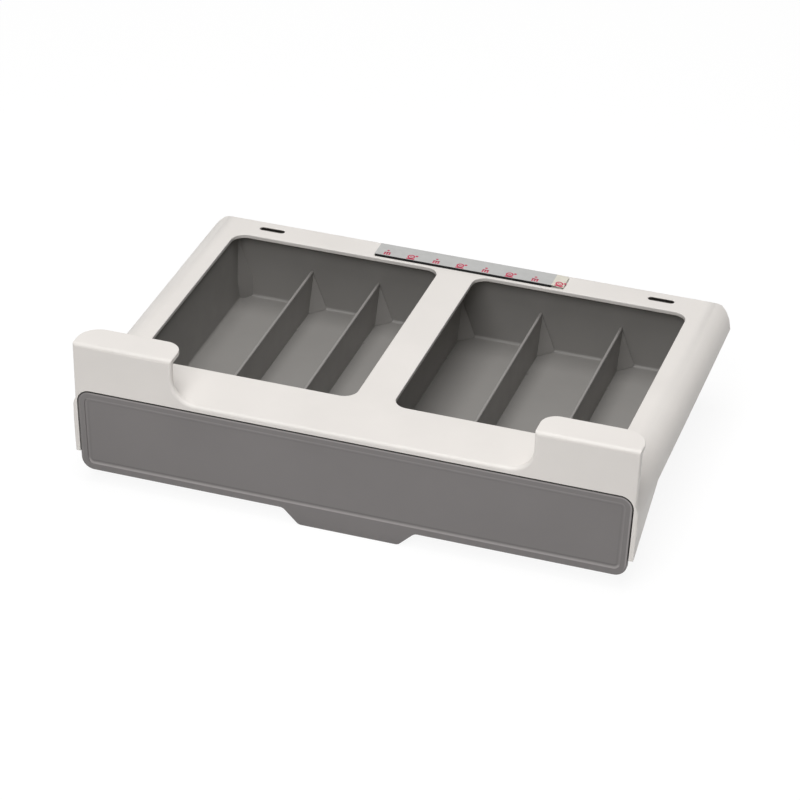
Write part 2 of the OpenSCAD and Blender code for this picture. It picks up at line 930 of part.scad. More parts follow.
module drawer_front() {
    color("#757273")
        difference() {
            union() {
                along_y(front_y, panel_back)
                    union() {
                        panel_outline(0);
                        pull_outline();
                    }
                front_screw_places(panel_back - eps)
                    cylinder(r = front_boss_radius, h = front_boss_length + eps);
                both_sides()
                    block([wing_rib_x, panel_back - eps, panel_corner - panel_bottom],
                          [wing_rib_x + rib_thickness, panel_back + wing_rib_depth,
                           -panel_drop - wing_rib_drop]);
            }
            field_space();
            front_screw_places(panel_back + front_boss_length + overcut)
                mirror([0, 0, 1])
                    cylinder(d = pilot_diameter, h = front_screw_depth + overcut);
        }
}

module drawer_front_screws() {
    color("#B7B9BB")
        front_screw_places(lane_front)
            mirror([0, 0, 1])
                screw(front_screw_depth - tip_gap, washer_head, screw_head_height);
}

// Cross-section of a divider: a thin plate with a round top edge
module divider_section() {
    radius = divider_thickness / 2;
    union() {
        translate([-radius, -floor_drop])
            square([divider_thickness, divider_height - radius]);
        translate([0, divider_height - floor_drop - radius])
            circle(radius);
    }
}

// A divider: a thin plate with gussets at its ends, feet that clear the tray's round lower
// edges and two pegs that press into the tray's floor
module divider(x) {
    radius = divider_thickness / 2;
    top = divider_height - floor_drop;
    front = lane_front + divider_end_gap;
    rear = lane_rear - divider_end_gap;
    color("#8A8987")
        translate([x, 0, 0])
            union() {
                intersection() {
                    union() {
                        along_y(front, rear)
                            divider_section();
                        both_sides() {
                            translate([radius, front, 0])
                                gusset(-floor_drop, top - divider_thickness, 0);
                            translate([radius, rear, 0])
                                mirror([0, 1, 0])
                                    gusset(-floor_drop, top - divider_thickness, 0);
                        }
                    }
                    along_x(-2 * gusset_foot, 2 * gusset_foot)
                        translate([front, -floor_drop])
                            rounded_rectangle([rear - front, 2 * divider_height],
                                              divider_foot_radius);
                }
                for (y = [lane_front + peg_inset, lane_rear - peg_inset])
                    translate([0, y, -floor_drop - tray_wall])
                        cylinder(d = peg_diameter, h = tray_wall + overlap);
            }
}

module divider_1() {
    divider(divider_x[0]);
}

module divider_2() {
    divider(divider_x[1]);
}

module divider_3() {
    divider(divider_x[2]);
}

module divider_4() {
    divider(divider_x[3]);
}

module divider_5() {
    divider(divider_x[4]);
}

casing();
left_runner();
right_runner();
left_runner_screws();
right_runner_screws();
adhesive_strip();
release_liner();
drawer_tray();
drawer_front();
drawer_front_screws();
divider_1();
divider_2();
divider_3();
divider_4();
divider_5();
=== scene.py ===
"""Looks of an under-shelf coffee pod drawer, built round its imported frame. Metres throughout."""

import math
from functools import partial

import bmesh
import bpy
from mathutils import Matrix, Vector
from mathutils.geometry import intersect_line_line_2d


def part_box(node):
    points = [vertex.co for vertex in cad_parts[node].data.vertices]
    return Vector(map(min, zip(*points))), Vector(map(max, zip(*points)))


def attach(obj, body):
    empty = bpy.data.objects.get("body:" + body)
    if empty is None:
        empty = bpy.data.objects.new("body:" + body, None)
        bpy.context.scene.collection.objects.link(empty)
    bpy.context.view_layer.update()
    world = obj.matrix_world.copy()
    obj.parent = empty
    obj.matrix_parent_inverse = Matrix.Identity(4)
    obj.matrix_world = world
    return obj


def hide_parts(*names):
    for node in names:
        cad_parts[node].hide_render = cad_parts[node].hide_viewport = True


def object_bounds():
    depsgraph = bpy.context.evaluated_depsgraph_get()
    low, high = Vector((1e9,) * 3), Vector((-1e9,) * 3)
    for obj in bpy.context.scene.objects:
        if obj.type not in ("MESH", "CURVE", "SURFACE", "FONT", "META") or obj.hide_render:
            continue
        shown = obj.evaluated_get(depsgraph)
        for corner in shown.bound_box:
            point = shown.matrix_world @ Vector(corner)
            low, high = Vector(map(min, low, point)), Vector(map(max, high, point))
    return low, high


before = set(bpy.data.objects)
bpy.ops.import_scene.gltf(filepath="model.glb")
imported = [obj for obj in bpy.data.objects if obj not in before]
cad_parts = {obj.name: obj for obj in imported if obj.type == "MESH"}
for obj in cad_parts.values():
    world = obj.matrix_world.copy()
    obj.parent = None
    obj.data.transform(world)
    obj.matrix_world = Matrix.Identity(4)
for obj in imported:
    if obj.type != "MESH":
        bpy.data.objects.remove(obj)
solid_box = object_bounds()

MM = 0.001

# Camera: its place, the direction it looks from, its roll and its lens
CAMERA_PLACE = Vector((0.499211, -1.573363, 0.968685))
CAMERA_AZIMUTH = 0.310988
CAMERA_ELEVATION = 0.548237
CAMERA_ROLL = 0.023723
CAMERA_LENS = 149.25
SENSOR_WIDTH = 36.0

# Softboxes: place, side and power of each. Both face the origin
OVERHEAD_SOFTBOX = ((0.0, 0.0, 1.5), 1.2, 17.6)
FRONT_SOFTBOX = ((0.0, -1.2, 1.2), 1.0, 13.6)

# Sky, and the paper that the drawer stands on
SKY_TINT = (1.0, 0.995, 0.985)
SKY_LEVEL = 0.02
FLOOR_REACH = 6.0
FLOOR_CLEARANCE = 0.2 * MM
PAPER_CLOUDS = 0.5
PAPER_DARKEST = (0.86, 0.855, 0.85)
PAPER_LIGHTEST = (0.88, 0.875, 0.87)
PAPER_GLOW = 1.06
GLOW_SHARE = 0.86

# Colours, as linear red, green and blue
WARM_WHITE = (0.80, 0.765, 0.73)
FRONT_GREY = (0.200, 0.188, 0.186)
# The tray's and dividers' greys are lightened above the front's grey, as painted light for the dim
# inside of the tray
TRAY_GREY = (0.235, 0.226, 0.215)
DIVIDER_GREY = (0.275, 0.264, 0.252)
RUNNER_GREY = (0.60, 0.58, 0.55)
ZINC = (0.60, 0.61, 0.62)
FOAM_BLACK = (0.012, 0.012, 0.012)
FILM_OVER_FOAM = (0.50, 0.50, 0.49)
FILM_FREE = (0.72, 0.69, 0.60)
INK_RED = (0.48, 0.035, 0.085)
# Painted shade, laid on the screw slots' walls and in the gap round the front panel
SHADE = (0.020, 0.017, 0.015)

# What the moulded plastics share: the sizes of their clouds and flow marks, how far their colour
# and roughness vary, and the depth of the flow marks against the grain's
TONE_CLOUDS = 45.0 * MM
ROUGHNESS_CLOUDS = 12.0 * MM
FLOW_MARKS = 20.0 * MM
MOTTLE = 0.025
ROUGHNESS_SPREAD = 0.05
FLOW_DEPTH = 1.5

# The middle stretch of a noise, which is spread to its full range
NOISE_LOW = 0.3
NOISE_HIGH = 0.7

# Sides of the small round meshes
ROUND_SIDES = 24

# Fasteners. A shank takes its real length from the solid that it stands for
SHANK_RADIUS = 1.0 * MM
SHANK_LENGTH = 6.0 * MM
THREAD_PITCH = 0.9 * MM
THREAD_DEPTH = 0.3 * MM
THREAD_SHARE = 0.92
HEAD_HEIGHT = 1.5 * MM
HEAD_TAPER = 0.45
HEAD_DOME = 0.18
RUNNER_HEAD_RADIUS = 2.5 * MM
FRONT_HEAD_RADIUS = 4.3 * MM

# The cross recess, in heights of the head
RECESS_LENGTH = 1.75
RECESS_WIDTH = 0.36
RECESS_DEPTH = 1.3

# Film: its thickness, its droop, its mesh, and where its colour turns beside the foam's end
FILM_THICKNESS = 0.09 * MM
FILM_DROOP = 0.55 * MM
FILM_COLUMNS = 96
FILM_ROWS = 8
FILM_TURNS_FROM = -0.2 * MM
FILM_TURNS_TO = 0.3 * MM

# Printed marks. Each stroke is a kind, its centre's X and Y, and its size and width in
# millimetres: the length and width of a bar, the radius of a disc, the radius and wall of a ring
MARK_COUNT = 8
MARK_START = 7.3 * MM
MARK_PITCH = 15.48 * MM
MARK_SETBACK = 3.0 * MM
INK_THICKNESS = 0.02 * MM
RING_HOLE_HEIGHT = 1.0 * MM
DOTTED_MARK = (
    ("bar", 0.0, 0.8, 4.0, 0.9),
    ("bar", -1.5, -0.7, 0.95, 3.0),
    ("bar", 0.0, -0.7, 0.95, 3.0),
    ("bar", 1.5, -0.7, 0.95, 3.0),
    ("disc", -0.3, 3.0, 0.8, 0.0),
)
ROUND_MARK = (
    ("ring", -0.5, 0.6, 2.4, 1.0),
    ("bar", -0.3, -2.0, 5.0, 1.3),
    ("bar", -0.5, 0.5, 1.8, 0.9),
    ("disc", 2.6, 2.1, 0.9, 0.0),
)

# Painted shade and painted highlights over the plastics: stops along one measure, in millimetres,
# and how strongly each covers
# Painted shade on the walls of the casing's two screw slots
SLOT_SHADE_ENDS = (
    (-131.0, 0.0), (-130.8, 1.0), (-114.4, 1.0), (-114.2, 0.0),
    (114.2, 0.0), (114.4, 1.0), (130.8, 1.0), (131.0, 0.0),
)
SLOT_SHADE_SIDES = ((96.2, 0.0), (96.3, 1.0), (100.7, 1.0), (100.8, 0.0))
SLOT_SHADE_HEIGHTS = ((-3.0, 1.0), (-0.7, 1.0), (-0.35, 0.0), (0.0, 0.0))
# Painted shade on the front panel's edge faces, in the gap round it
GAP_SHADE_RIM = ((-1.0, 1.0), (0.3, 1.0), (0.5, 0.0), (2.0, 0.0))
GAP_SHADE_HEIGHTS = ((-47.0, 0.0), (-44.0, 1.0), (0.0, 1.0))
GAP_SHADE_DEPTHS = ((-110.0, 1.0), (-108.6, 1.0), (-107.9, 0.0))
# Painted highlight on the front panel's rounded outer lip, fainter at its left end
LIP_HIGHLIGHT_RIM = ((0.0, 0.0), (0.5, 0.0), (0.7, 1.0), (1.1, 1.0), (1.6, 0.0))
LIP_HIGHLIGHT_LENGTH = ((-170.0, 0.2), (-159.0, 0.2), (-152.0, 1.0), (170.0, 1.0))
LIP_HIGHLIGHT_HEIGHTS = ((-52.0, 0.0), (-47.0, 1.0), (0.0, 1.0))
# Painted highlight along the crest of the field's slope and painted shade at its foot, stronger on
# the lower slope
CREST_HIGHLIGHT_RIM = ((3.0, 0.0), (3.8, 0.0), (4.15, 1.0), (4.7, 0.8), (5.5, 0.0))
FOOT_SHADE_RIM = ((4.0, 0.0), (5.3, 0.0), (5.8, 1.0), (6.2, 1.0), (6.7, 0.0))
SLOPE_HEIGHTS = ((-52.5, 1.0), (-49.0, 1.0), (-48.0, 0.35), (0.0, 0.35))

# How light each painted highlight and painted shade on the front is, against the front's own
# colour
PAINTED_CREST_HIGHLIGHT = 1.75
PAINTED_FOOT_SHADE = 0.78
PAINTED_LIP_HIGHLIGHT = 1.6

# Outline of the front panel: its side at the level of the shelf, the lean of its side, the
# levels of its edges and the radius of its corners
PANEL_SIDE = 162.644 * MM
PANEL_LEAN = 0.03606
PANEL_TOP = -4.0 * MM
PANEL_LOW = -55.3 * MM
PANEL_CORNER = 7.5 * MM

# Edge rounding of the moulded pieces and the foam
CASING_EDGE = 0.5 * MM
FRONT_EDGE = 0.3 * MM
TRAY_EDGE = 0.35 * MM
FOAM_EDGE = 0.2 * MM
ROUNDING_SEGMENTS = 3
LEAST_ROUNDING = 0.12
LEAST_RUN = 8.0 * MM

# How much of a side a rounding may take, from one of its ends, where the side's other end is
# rounded too and where the side itself is plain
ROUNDED_SIDE_SHARE = 0.48
PLAIN_SIDE_SHARE = 0.8

# Angles that tell sharp edges from smooth ones, corners from runs and stray shading from true
SHARP_LIMIT = math.radians(35)
SMOOTH_LIMIT = math.radians(28)
FACET_LIMIT = math.radians(18.2)
CORNER_LIMIT = math.radians(40)
COPLANAR_LIMIT = math.radians(0.4)
STRAY_LIMIT = math.radians(32)

# Distances under which a place lies in a plane, and under which vertices are merged
PLANE_LIMIT = 0.01 * MM
FINE_MERGE = 0.002 * MM
WIDE_MERGE = 0.02 * MM

# Folded faces: the area that tells one, and the most corners and the size of a loop that is
# drawn together
FOLD_LIMIT = 1e-9
LOOP_REACH = 6
LOOP_SIZE = 2.0 * MM

# Least values to divide by
LEAST_SLOPE = 1e-6
LEAST_LENGTH = 1e-9


# ---------------------------------------------------------------- nodes of every kind of tree


def feed(tree, socket, term):
    """Gives an input a constant, or a link where the term is a socket."""
    if isinstance(term, bpy.types.NodeSocket):
        tree.links.new(term, socket)
    else:
        socket.default_value = term


def arithmetic(tree, operation, first, second=0.0):
    """A maths node. Each term is a number or a socket."""
    node = tree.nodes.new("ShaderNodeMath")
    node.operation = operation
    feed(tree, node.inputs[0], first)
    feed(tree, node.inputs[1], second)
    return node.outputs[0]


def vector_of(tree, x=0.0, y=0.0, z=0.0):
    """A vector from three numbers or sockets."""
    node = tree.nodes.new("ShaderNodeCombineXYZ")
    for socket, term in zip(node.inputs, (x, y, z)):
        feed(tree, socket, term)
    return node.outputs[0]


# ---------------------------------------------------------------- materials


def new_material(name):
    """A node material with its Principled shader and its Object coordinates."""
    material = bpy.data.materials.new(name)
    material.use_nodes = True
    nodes = material.node_tree.nodes
    shader = nodes["Principled BSDF"]
    coordinates = nodes.new("ShaderNodeTexCoord")
    return material, shader, coordinates.outputs["Object"]


def noise(material, place, size, detail=2.0):
    """A noise texture whose features are about as large as the size given."""
    texture = material.node_tree.nodes.new("ShaderNodeTexNoise")
    texture.inputs["Scale"].default_value = 1.0 / size
    texture.inputs["Detail"].default_value = detail
    material.node_tree.links.new(place, texture.inputs["Vector"])
    return texture.outputs["Fac"]


def remap(material, value, low, high, to_low, to_high):
    """Maps a value from one range to another, clamped."""
    node = material.node_tree.nodes.new("ShaderNodeMapRange")
    node.inputs["From Min"].default_value = low
    node.inputs["From Max"].default_value = high
    node.inputs["To Min"].default_value = to_low
    node.inputs["To Max"].default_value = to_high
    material.node_tree.links.new(value, node.inputs["Value"])
    return node.outputs["Result"]


def clouds(material, place, size, detail=2.0, low=0.0, high=1.0):
    """Soft clouds between two levels, about as large as the size given."""
    texture = noise(material, place, size, detail)
    return remap(material, texture, NOISE_LOW, NOISE_HIGH, low, high)


def blend_colours(material, factor, colour_a, colour_b):
    """Mixes two colours by a factor. Each colour is a tuple or a socket."""
    node = material.node_tree.nodes.new("ShaderNodeMix")
    node.data_type = "RGBA"
    material.node_tree.links.new(factor, node.inputs["Factor"])
    for socket, colour in ((node.inputs[6], colour_a), (node.inputs[7], colour_b)):
        whole = (*colour, 1.0) if isinstance(colour, tuple) else colour
        feed(material.node_tree, socket, whole)
    return node.outputs[2]


def scaled(colour, factor):
    """The colour made lighter or darker."""
    return tuple(min(1.0, channel * factor) for channel in colour)


def two_tones(material, factor, colour, low, high):
    """A colour between a darker and a lighter tone of itself, by a factor."""
    return blend_colours(material, factor, scaled(colour, low), scaled(colour, high))


def set_colour(material, colour):
    """Gives the surface a base colour from a socket."""
    shader = material.node_tree.nodes["Principled BSDF"]
    material.node_tree.links.new(colour, shader.inputs["Base Color"])


def set_roughness(material, place, low, high, size, detail=2.0):
    """Gives the surface a roughness that clouds between two levels."""
    shader = material.node_tree.nodes["Principled BSDF"]
    rough = clouds(material, place, size, detail, low, high)
    material.node_tree.links.new(rough, shader.inputs["Roughness"])


def add_relief(material, shader, height, depth, below=None):
    """Adds a bump of the given depth to the shader, on top of another bump if one is given."""
    bump = material.node_tree.nodes.new("ShaderNodeBump")
    bump.inputs["Strength"].default_value = 1.0
    bump.inputs["Distance"].default_value = depth
    links = material.node_tree.links
    links.new(height, bump.inputs["Height"])
    if below is not None:
        links.new(below, bump.inputs["Normal"])
    links.new(bump.outputs["Normal"], shader.inputs["Normal"])
    return bump.outputs["Normal"]


def moulded_plastic(name, colour, roughness, grain, depth):
    """Satin injection-moulded plastic: a spark-eroded grain, faint flow marks and mottling."""
    material, shader, place = new_material(name)
    tone = clouds(material, place, TONE_CLOUDS, detail=3.0)
    set_colour(material, two_tones(material, tone, colour, 1.0 - MOTTLE, 1.0 + MOTTLE))
    smoothest, roughest = roughness - ROUGHNESS_SPREAD, roughness + ROUGHNESS_SPREAD
    set_roughness(material, place, smoothest, roughest, ROUGHNESS_CLOUDS, detail=4.0)
    shader.inputs["Specular IOR Level"].default_value = 0.4
    flow = noise(material, place, FLOW_MARKS, detail=1.0)
    flow_relief = add_relief(material, shader, flow, depth * FLOW_DEPTH)
    add_relief(material, shader, noise(material, place, grain), depth, below=flow_relief)
    return material


def zinc_steel(name):
    """Zinc-plated steel with faint tooling and clouding."""
    material, shader, place = new_material(name)
    tone = clouds(material, place, 1.2 * MM, detail=3.0)
    set_colour(material, two_tones(material, tone, ZINC, low=0.85, high=1.1))
    shader.inputs["Metallic"].default_value = 1.0
    set_roughness(material, place, low=0.24, high=0.42, size=0.6 * MM)
    add_relief(material, shader, noise(material, place, 0.3 * MM), 0.004 * MM)
    return material


def cell_foam(name):
    """Closed-cell foam: near black, dull, with fine round cells on its cut edges."""
    material, shader, place = new_material(name)
    cells = material.node_tree.nodes.new("ShaderNodeTexVoronoi")
    cells.inputs["Scale"].default_value = 1.0 / (0.22 * MM)
    material.node_tree.links.new(place, cells.inputs["Vector"])
    tone = remap(material, cells.outputs["Distance"], 0.0, 0.8, 0.0, 1.0)
    set_colour(material, two_tones(material, tone, FOAM_BLACK, low=0.6, high=2.0))
    set_roughness(material, place, low=0.82, high=0.95, size=1.0 * MM)
    shader.inputs["Specular IOR Level"].default_value = 0.2
    add_relief(material, shader, cells.outputs["Distance"], 0.05 * MM)
    return material


def place_along(material, axis):
    """One of the Object coordinates."""
    nodes = material.node_tree.nodes
    split = nodes.new("ShaderNodeSeparateXYZ")
    coordinates = nodes.new("ShaderNodeTexCoord")
    material.node_tree.links.new(coordinates.outputs["Object"], split.inputs["Vector"])
    return split.outputs[axis]


def release_film(name, foam_end):
    """Thin waxed film: grey over the dark foam, creamy where its free end lies over white."""
    material, shader, place = new_material(name)
    low, high = foam_end + FILM_TURNS_FROM, foam_end + FILM_TURNS_TO
    past_foam = remap(material, place_along(material, "X"), low, high, 0.0, 1.0)
    fibres = clouds(material, place, 4.0 * MM, detail=5.0)
    grey = two_tones(material, fibres, FILM_OVER_FOAM, low=0.96, high=1.04)
    cream = two_tones(material, fibres, FILM_FREE, low=0.95, high=1.05)
    set_colour(material, blend_colours(material, past_foam, grey, cream))
    set_roughness(material, place, low=0.32, high=0.45, size=6.0 * MM)
    shader.inputs["Specular IOR Level"].default_value = 0.45
    add_relief(material, shader, noise(material, place, 9.0 * MM), 0.06 * MM)
    return material


def printing_ink(name):
    """Flat red ink with slightly uneven cover."""
    material, shader, place = new_material(name)
    cover = clouds(material, place, 0.5 * MM, detail=3.0)
    set_colour(material, two_tones(material, cover, INK_RED, low=0.8, high=1.25))
    shader.inputs["Roughness"].default_value = 0.5
    return material


# ---------------------------------------------------------------- painted highlights and shade over a material


def depth_in_panel(material):
    """How far a place lies inside the front panel's rounded outline."""
    calculate = partial(arithmetic, material.node_tree)
    z = place_along(material, "Z")
    width = calculate("ABSOLUTE", place_along(material, "X"))
    side = calculate("SUBTRACT", width, calculate("MULTIPLY", z, PANEL_LEAN))
    across = calculate("SUBTRACT", side, PANEL_SIDE - PANEL_CORNER)
    above = calculate("SUBTRACT", z, PANEL_TOP)
    under = calculate("SUBTRACT", PANEL_LOW, z)
    along = calculate("ADD", calculate("MAXIMUM", above, under), PANEL_CORNER)
    squares = [
        calculate("POWER", calculate("MAXIMUM", reach, 0.0), 2.0) for reach in (across, along)
    ]
    outer = calculate("SQRT", calculate("ADD", *squares))
    inner = calculate("MINIMUM", calculate("MAXIMUM", across, along), 0.0)
    return calculate("SUBTRACT", PANEL_CORNER, calculate("ADD", outer, inner))


def band(material, measure, stops):
    """A level that follows a measure through its stops, which are in millimetres."""
    low, high = stops[0][0], stops[-1][0]
    ramp = material.node_tree.nodes.new("ShaderNodeValToRGB")
    elements = ramp.color_ramp.elements
    while len(elements) < len(stops):
        elements.new(0.5)
    for element, (place, level) in zip(elements, stops):
        element.position = (place - low) / (high - low)
        element.color = (level, level, level, 1.0)
    share = remap(material, measure, low * MM, high * MM, 0.0, 1.0)
    material.node_tree.links.new(share, ramp.inputs["Fac"])
    return ramp.outputs["Color"]


def tone_bands(material, colour, *bands):
    """Blends the base colour towards another where all the bands overlap."""
    cover = band(material, *bands[0])
    for measure, stops in bands[1:]:
        cover = arithmetic(material.node_tree, "MULTIPLY", cover, band(material, measure, stops))
    base = material.node_tree.nodes["Principled BSDF"].inputs["Base Color"]
    set_colour(material, blend_colours(material, cover, base.links[0].from_socket, colour))


# ---------------------------------------------------------------- mesh tools


def linked_object(name, data):
    """A new object in the scene that holds a mesh, a lamp or a camera."""
    holder = bpy.data.objects.new(name, data)
    bpy.context.scene.collection.objects.link(holder)
    return holder


def finished_piece(name, mesh, body, slot, *nodes):
    """Links a finished mesh at the origin, on its body, in place of its nodes."""
    piece = linked_object(name, mesh)
    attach(piece, body)
    if nodes:
        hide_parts(*nodes)
    return piece


def merged_copy(node, reach):
    """A copy of a node's mesh, with its loose triangles merged and its flat faces whole."""
    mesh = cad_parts[node].data.copy()
    work = bmesh.new()
    work.from_mesh(mesh)
    bmesh.ops.remove_doubles(work, verts=work.verts, dist=reach)
    bmesh.ops.dissolve_degenerate(work, edges=work.edges, dist=reach)
    bmesh.ops.dissolve_limit(
        work, angle_limit=COPLANAR_LIMIT, verts=work.verts, edges=work.edges
    )
    work.to_mesh(mesh)
    work.free()
    return mesh


def mark_sharp_edges(mesh):
    """Shades a mesh smooth, apart from its sharp edges."""
    work = bmesh.new()
    work.from_mesh(mesh)
    for face in work.faces:
        face.smooth = True
    for edge in work.edges:
        edge.smooth = len(edge.link_faces) == 2 and edge.calc_face_angle(0.0) < SMOOTH_LIMIT
    work.to_mesh(mesh)
    work.free()


def evaluated_mesh(holder):
    """The mesh of an object with its modifiers applied. The object is then removed."""
    depsgraph = bpy.context.evaluated_depsgraph_get()
    mesh = bpy.data.meshes.new_from_object(holder.evaluated_get(depsgraph))
    bpy.data.objects.remove(holder)
    return mesh


def room_at(vertex, sharp, radius):
    """The largest rounding that fits at a vertex, from the edges beside its sharp ones."""
    room = radius
    for face in vertex.link_faces:
        first, second = [edge for edge in face.edges if vertex in edge.verts]
        rounded = [edge in sharp for edge in (first, second)]
        if not any(rounded):
            continue
        ways = [edge.other_vert(vertex).co - vertex.co for edge in (first, second)]
        angle = ways[0].angle(ways[1])
        if all(rounded):
            reach = 1.0 / max(math.tan(angle / 2.0), LEAST_SLOPE)
            limit = ROUNDED_SIDE_SHARE * min(way.length for way in ways)
        else:
            reach = 1.0 / max(math.sin(min(angle, math.pi / 2.0)), LEAST_SLOPE)
            limit = PLAIN_SIDE_SHARE * ways[rounded.index(False)].length
        room = min(room, limit / reach)
    return room


def runs_of_edges(sharp):
    """The sharp edges in runs that carry on without a corner."""
    left = set(sharp)
    while left:
        run = [left.pop()]
        for edge in run:
            for vertex in edge.verts:
                way = vertex.co - edge.other_vert(vertex).co
                for other in vertex.link_edges:
                    if other in left:
                        onward = other.other_vert(vertex).co - vertex.co
                        if way.angle(onward, 0.0) < CORNER_LIMIT:
                            left.remove(other)
                            run.append(other)
        yield run


def corners_of(vertices):
    """The lowest and highest corners of some vertices."""
    places = [vertex.co for vertex in vertices]
    low = Vector([min(place[axis] for place in places) for axis in range(3)])
    high = Vector([max(place[axis] for place in places) for axis in range(3)])
    return low, high


def weigh_edges(mesh, radius, smooth_limit, crisp_plane):
    """Marks the sharp outer edges for rounding, each run by what fits all along it.

    Edges that lie at the crisp plane's Y are left alone. The rest is shaded smooth, apart
    from the edges that turn by more than the smooth limit and aren't rounded.
    """
    work = bmesh.new()
    work.from_mesh(mesh)
    layer = work.edges.layers.float.new("bevel_weight_edge")
    sharp = {
        edge
        for edge in work.edges
        if edge.is_convex
        and edge.calc_face_angle(0.0) > SHARP_LIMIT
        and any(abs(vertex.co.y - crisp_plane) > PLANE_LIMIT for vertex in edge.verts)
    }
    for run in runs_of_edges(sharp):
        vertices = {vertex for edge in run for vertex in edge.verts}
        weight = min(room_at(vertex, sharp, radius) for vertex in vertices) / radius
        spans = [most - least for least, most in zip(*corners_of(vertices))]
        if weight > LEAST_ROUNDING and max(spans) > LEAST_RUN:
            for edge in run:
                edge[layer] = weight
    for face in work.faces:
        face.smooth = True
    for edge in work.edges:
        edge.smooth = edge[layer] > 0.0 or edge.calc_face_angle(0.0) < smooth_limit
    work.to_mesh(mesh)
    work.free()


def folded_faces(mesh):
    """The faces whose outline crosses itself, which shows in their triangles' area."""
    mesh.calc_loop_triangles()
    covered = [0.0] * len(mesh.polygons)
    for triangle in mesh.loop_triangles:
        covered[triangle.polygon_index] += triangle.area
    return [
        face for face in mesh.polygons if abs(covered[face.index] - face.area) > FOLD_LIMIT
    ]


def untangle(mesh):
    """Draws each small loop in a face's outline together at the point where it crosses."""
    for face in folded_faces(mesh):
        upright = max(range(3), key=lambda axis: abs(face.normal[axis]))
        flat = [axis for axis in range(3) if axis != upright]
        corners = list(face.vertices)
        count = len(corners)
        for first in range(count):
            for step in range(2, min(LOOP_REACH, count - 1)):
                ring = [mesh.vertices[corners[(first + k) % count]] for k in range(step + 2)]
                ends = [
                    Vector([vertex.co[axis] for axis in flat])
                    for vertex in (ring[0], ring[1], ring[-2], ring[-1])
                ]
                crossing = intersect_line_line_2d(*ends)
                if crossing is None:
                    continue
                length = max((ends[1] - ends[0]).length, LEAST_LENGTH)
                place = ring[0].co.lerp(ring[1].co, (crossing - ends[0]).length / length)
                if all((vertex.co - place).length < LOOP_SIZE for vertex in ring[1:-1]):
                    for vertex in ring[1:-1]:
                        vertex.co = place


def keep_inside(mesh, low, high):
    """Moves any vertex that lies outside a box back to its side."""
    for vertex in mesh.vertices:
        vertex.co = [
            min(max(place, least), most) for place, least, most in zip(vertex.co, low, high)
        ]


def weld(mesh):
    """Joins the vertices that lie in one place."""
    work = bmesh.new()
    work.from_mesh(mesh)
    bmesh.ops.remove_doubles(work, verts=work.verts, dist=FINE_MERGE)
    work.to_mesh(mesh)
    work.free()


def straighten_normals(mesh):
    """Shades a face by its own normal at each corner where its shading turns far aside."""
    normals = [corner.vector.copy() for corner in mesh.corner_normals]
    for face in mesh.polygons:
        for corner in face.loop_indices:
            if normals[corner].angle(face.normal, 0.0) > STRAY_LIMIT:
                normals[corner] = face.normal.copy()
    mesh.normals_split_custom_set(normals)


def softened_mesh(
    node, radius, material, smooth_limit=FACET_LIMIT, crisp_plane=math.inf, reach=FINE_MERGE
):
    """A node's mesh with its sharp outer edges rounded to the radius."""
    mesh = merged_copy(node, reach)
    weigh_edges(mesh, radius, smooth_limit, crisp_plane)
    holder = linked_object("softening_" + node, mesh)
    bevel = holder.modifiers.new("edge rounding", "BEVEL")
    bevel.width = radius
    bevel.segments = ROUNDING_SEGMENTS
    bevel.limit_method = "WEIGHT"
    bevel.use_clamp_overlap = False
    bevel.miter_outer = "MITER_ARC"
    rounded = evaluated_mesh(holder)
    untangle(rounded)
    keep_inside(rounded, *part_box(node))
    weld(rounded)
    holder = linked_object("shading_" + node, rounded)
    flattening = holder.modifiers.new("flat faces", "WEIGHTED_NORMAL")
    flattening.keep_sharp = True
    result = evaluated_mesh(holder)
    straighten_normals(result)
    result.materials.clear()
    result.materials.append(material)
    return result


def softened_piece(name, node, radius, material, body, slot, **choices):
    """A CAD node shown with rounded edges and its own finish."""
    finished_piece(name, softened_mesh(node, radius, material, **choices), body, slot, node)


# ---------------------------------------------------------------- node trees for what repeats


def new_tree(name, inputs):
    """A geometry node tree with named float inputs besides its geometry."""
    tree = bpy.data.node_groups.new(name, "GeometryNodeTree")
    face = tree.interface
    face.new_socket("Geometry", in_out="INPUT", socket_type="NodeSocketGeometry")
    for label, value in inputs.items():
        socket = face.new_socket(label, in_out="INPUT", socket_type="NodeSocketFloat")
        socket.default_value = value
    face.new_socket("Material", in_out="INPUT", socket_type="NodeSocketMaterial")
    face.new_socket("Geometry", in_out="OUTPUT", socket_type="NodeSocketGeometry")
    return tree, tree.nodes.new("NodeGroupInput").outputs


def add_node(tree, kind, settings=None, values=None, sockets=None):
    """A node with its properties, its constant inputs and its links, by input name or index."""
    node = tree.nodes.new(kind)
    for key, value in (settings or {}).items():
        setattr(node, key, value)
    for key, value in (values or {}).items():
        node.inputs[key].default_value = value
    for key, source in (sockets or {}).items():
        tree.links.new(source, node.inputs[key])
    return node


def cylinder(tree, radius, depth):
    """A cylinder round the origin, along Z. Its radius and depth are numbers or sockets."""
    node = add_node(tree, "GeometryNodeMeshCylinder", values={"Vertices": ROUND_SIDES})
    feed(tree, node.inputs["Radius"], radius)
    feed(tree, node.inputs["Depth"], depth)
    return node.outputs[0]


def block(tree, length, width, depth):
    """A block round the origin. Its sizes are numbers or sockets."""
    size = vector_of(tree, length, width, depth)
    return add_node(tree, "GeometryNodeMeshCube", sockets={"Size": size}).outputs[0]


def moved(tree, geometry, x=0.0, y=0.0, z=0.0):
    """Geometry moved by three numbers or sockets."""
    way = vector_of(tree, x, y, z)
    sockets = {"Geometry": geometry, "Translation": way}
    return add_node(tree, "GeometryNodeTransform", sockets=sockets).outputs[0]


